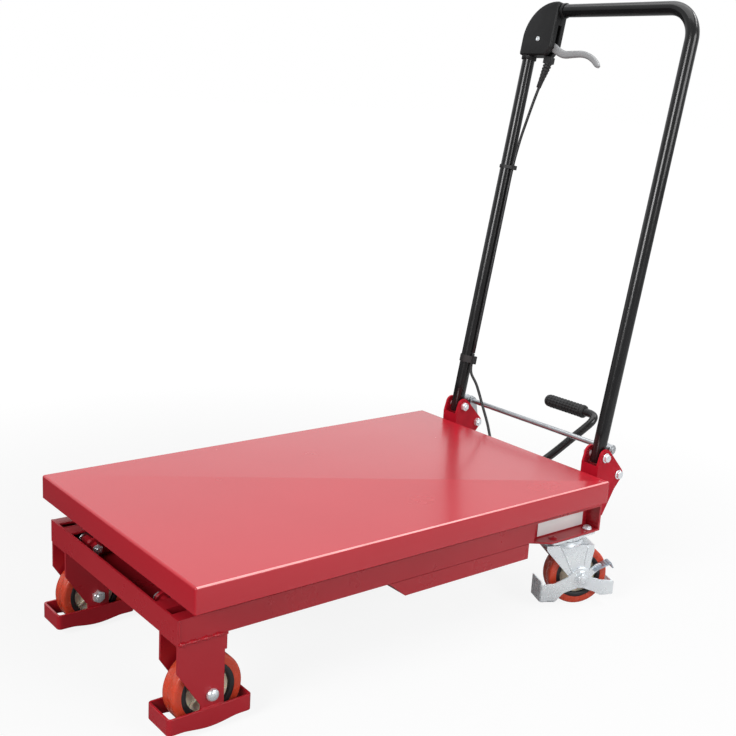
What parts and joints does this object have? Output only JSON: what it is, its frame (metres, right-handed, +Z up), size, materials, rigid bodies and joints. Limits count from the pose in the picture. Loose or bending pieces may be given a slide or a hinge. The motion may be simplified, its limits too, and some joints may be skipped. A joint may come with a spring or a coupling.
{
  "type": "hydraulic scissor lift table truck",
  "caption": "Mobile scissor lift table: foot-pumped hydraulic platform on fixed wheels and braked swivel casters, with folding push handle.",
  "frame": {"origin": "floor level, middle of the bounding box in X and Y", "axes": "+Z up from the floor, +X from the fixed front wheels towards the push handle, +Y towards the side with the release lever"},
  "size_m": [0.9292, 0.45, 0.9609],
  "materials": {
    "red_paint": "deep red gloss enamel",
    "black_paint": "gloss black powder coat",
    "black_plastic": "semi-matt black moulding",
    "rubber": "matt black rubber",
    "zinc": "bright bluish zinc plate",
    "steel": "turned steel",
    "chrome_rod": "hard chrome, polished",
    "lever_grey": "satin cast alloy",
    "label": "blank white label",
    "tyre": "orange-red polyurethane tread",
    "nylon": "cream nylon core with a dark rim"
  },
  "bodies": {
    "base": {"base_frame": "red_paint", "rear_channel_left": "red_paint", "rear_channel_right": "red_paint", "pump_tray": "red_paint", "front_fork_left": "red_paint", "front_fork_right": "red_paint", "foot_guard_left": "red_paint", "foot_guard_right": "red_paint", "handle_bracket_left": "red_paint", "handle_bracket_right": "red_paint", "pump_body": "black_paint", "rating_plate": "label", "base_pivot_shaft": "zinc", "front_axle_left": "zinc", "front_axle_right": "zinc", "handle_bolt_left": "zinc", "handle_bolt_right": "zinc", "bail_bolt_left": "zinc", "bail_bolt_right": "zinc", "caster_plate_left": "zinc", "caster_plate_right": "zinc", "cable_lower": "rubber"},
    "outer_arms": {"outer_arm_frame": "red_paint", "upper_roller_shaft": "zinc", "centre_pin_left": "zinc", "centre_pin_right": "zinc"},
    "inner_arms": {"inner_arm_frame": "red_paint"},
    "table": {"table_top": "red_paint", "table_pivot_shaft": "zinc"},
    "lower_roller_left": {"lower_roller_left": "steel"},
    "lower_roller_right": {"lower_roller_right": "steel"},
    "upper_roller_left": {"upper_roller_left": "steel"},
    "upper_roller_right": {"upper_roller_right": "steel"},
    "cylinder": {"cylinder_barrel": "black_paint"},
    "ram": {"piston_rod": "chrome_rod"},
    "pedal": {"pedal_arm": "black_paint", "pedal_grip": "rubber"},
    "valve": {"valve_lever": "zinc"},
    "handle": {"handle_tube": "black_paint", "lever_housing": "black_plastic", "cable_boot": "rubber", "cable_upper": "rubber", "cable_clip": "rubber"},
    "release": {"release_lever": "lever_grey"},
    "bail": {"lock_bail": "zinc"},
    "front_wheel_left": {"front_tyre_left": "tyre", "front_wheel_core_left": "nylon"},
    "caster_left": {"caster_fork_left": "zinc", "caster_axle_left": "zinc"},
    "caster_wheel_left": {"caster_tyre_left": "tyre", "caster_wheel_core_left": "nylon"},
    "brake_left": {"caster_brake_left": "zinc"},
    "front_wheel_right": {"front_tyre_right": "tyre", "front_wheel_core_right": "nylon"},
    "caster_right": {"caster_fork_right": "zinc", "caster_axle_right": "zinc"},
    "caster_wheel_right": {"caster_tyre_right": "tyre", "caster_wheel_core_right": "nylon"},
    "brake_right": {"caster_brake_right": "zinc"}
  },
  "joints": [
    {"name": "lift", "type": "hinge", "parent": "base", "child": "outer_arms", "pos_m": [0.24535, 0, 0.1465], "axis": [0, 1, 0], "range_deg": [0, 51]},
    {"name": "scissor_centre", "type": "hinge", "parent": "outer_arms", "child": "inner_arms", "pos_m": [-0.08965, 0, 0.175], "axis": [0, 1, 0], "range_deg": [-102, 0]},
    {"name": "table_pivot", "type": "hinge", "parent": "inner_arms", "child": "table", "pos_m": [0.24535, 0, 0.2035], "axis": [0, 1, 0], "range_deg": [0, 51]},
    {"name": "lower_roller_spin_left", "type": "hinge", "parent": "inner_arms", "child": "lower_roller_left", "pos_m": [-0.42464, -0.136, 0.1465], "axis": [0, 1, 0], "continuous": true},
    {"name": "lower_roller_spin_right", "type": "hinge", "parent": "inner_arms", "child": "lower_roller_right", "pos_m": [-0.42464, 0.136, 0.1465], "axis": [0, 1, 0], "continuous": true},
    {"name": "upper_roller_spin_left", "type": "hinge", "parent": "outer_arms", "child": "upper_roller_left", "pos_m": [-0.42464, -0.136, 0.2035], "axis": [0, 1, 0], "continuous": true},
    {"name": "upper_roller_spin_right", "type": "hinge", "parent": "outer_arms", "child": "upper_roller_right", "pos_m": [-0.42464, 0.136, 0.2035], "axis": [0, 1, 0], "continuous": true},
    {"name": "cylinder_swing", "type": "hinge", "parent": "base", "child": "cylinder", "pos_m": [0.07036, 0, 0.124], "axis": [0, 1, 0], "range_deg": [0, 60]},
    {"name": "ram_slide", "type": "slide", "parent": "cylinder", "child": "ram", "axis": [-0.9505, 0, 0.3107], "range_m": [0, 0.059]},
    {"name": "pedal_press", "type": "hinge", "parent": "base", "child": "pedal", "pos_m": [0.27236, 0, 0.128], "axis": [0, 1, 0], "range_deg": [0, 28], "stiffness_Nm_per_rad": 6, "springref_deg": -28.65},
    {"name": "valve_turn", "type": "hinge", "parent": "base", "child": "valve", "pos_m": [0.21835, 0.038, 0.13], "axis": [0, -1, 0], "range_deg": [0, 8]},
    {"name": "handle_fold", "type": "hinge", "parent": "base", "child": "handle", "pos_m": [0.32436, 0, 0.241], "axis": [0, -1, 0], "range_deg": [0, 100]},
    {"name": "release_squeeze", "type": "hinge", "parent": "handle", "child": "release", "pos_m": [0.43966, 0.143, 0.89491], "axis": [-0.9848, 0, 0.1736], "range_deg": [0, 20], "stiffness_Nm_per_rad": 1.2, "springref_deg": -20.05},
    {"name": "bail_release", "type": "hinge", "parent": "base", "child": "bail", "pos_m": [0.36035, 0, 0.207], "axis": [0, 1, 0], "range_deg": [0, 35], "stiffness_Nm_per_rad": 0.8, "springref_deg": -28.65},
    {"name": "front_wheel_spin_left", "type": "hinge", "parent": "base", "child": "front_wheel_left", "pos_m": [-0.40164, -0.164, 0.05], "axis": [0, 1, 0], "continuous": true},
    {"name": "front_wheel_spin_right", "type": "hinge", "parent": "base", "child": "front_wheel_right", "pos_m": [-0.40164, 0.164, 0.05], "axis": [0, 1, 0], "continuous": true},
    {"name": "caster_swivel_left", "type": "hinge", "parent": "base", "child": "caster_left", "pos_m": [0.26536, -0.166, 0.11], "axis": [0, 0, 1], "continuous": true},
    {"name": "caster_wheel_spin_left", "type": "hinge", "parent": "caster_left", "child": "caster_wheel_left", "pos_m": [0.28719, -0.17595, 0.05], "axis": [0.4147, 0.91, 0], "continuous": true},
    {"name": "brake_press_left", "type": "hinge", "parent": "caster_left", "child": "brake_left", "pos_m": [0.28719, -0.17595, 0.05], "axis": [0.4147, 0.91, 0], "range_deg": [0, 12]},
    {"name": "caster_swivel_right", "type": "hinge", "parent": "base", "child": "caster_right", "pos_m": [0.26536, 0.166, 0.11], "axis": [0, 0, 1], "continuous": true},
    {"name": "caster_wheel_spin_right", "type": "hinge", "parent": "caster_right", "child": "caster_wheel_right", "pos_m": [0.28719, 0.15605, 0.05], "axis": [0.4147, 0.91, 0], "continuous": true},
    {"name": "brake_press_right", "type": "hinge", "parent": "caster_right", "child": "brake_right", "pos_m": [0.28719, 0.15605, 0.05], "axis": [0.4147, 0.91, 0], "range_deg": [0, 12]}
  ],
  "couplings": [
    {"joint": "scissor_centre", "follows": "lift", "ratio": -2},
    {"joint": "table_pivot", "follows": "lift", "ratio": 1},
    {"joint": "cylinder_swing", "follows": "lift", "ratio": 1.173},
    {"joint": "ram_slide", "follows": "lift", "m_per_rad": 0.066},
    {"joint": "valve_turn", "follows": "release_squeeze", "ratio": 0.4}
  ]
}
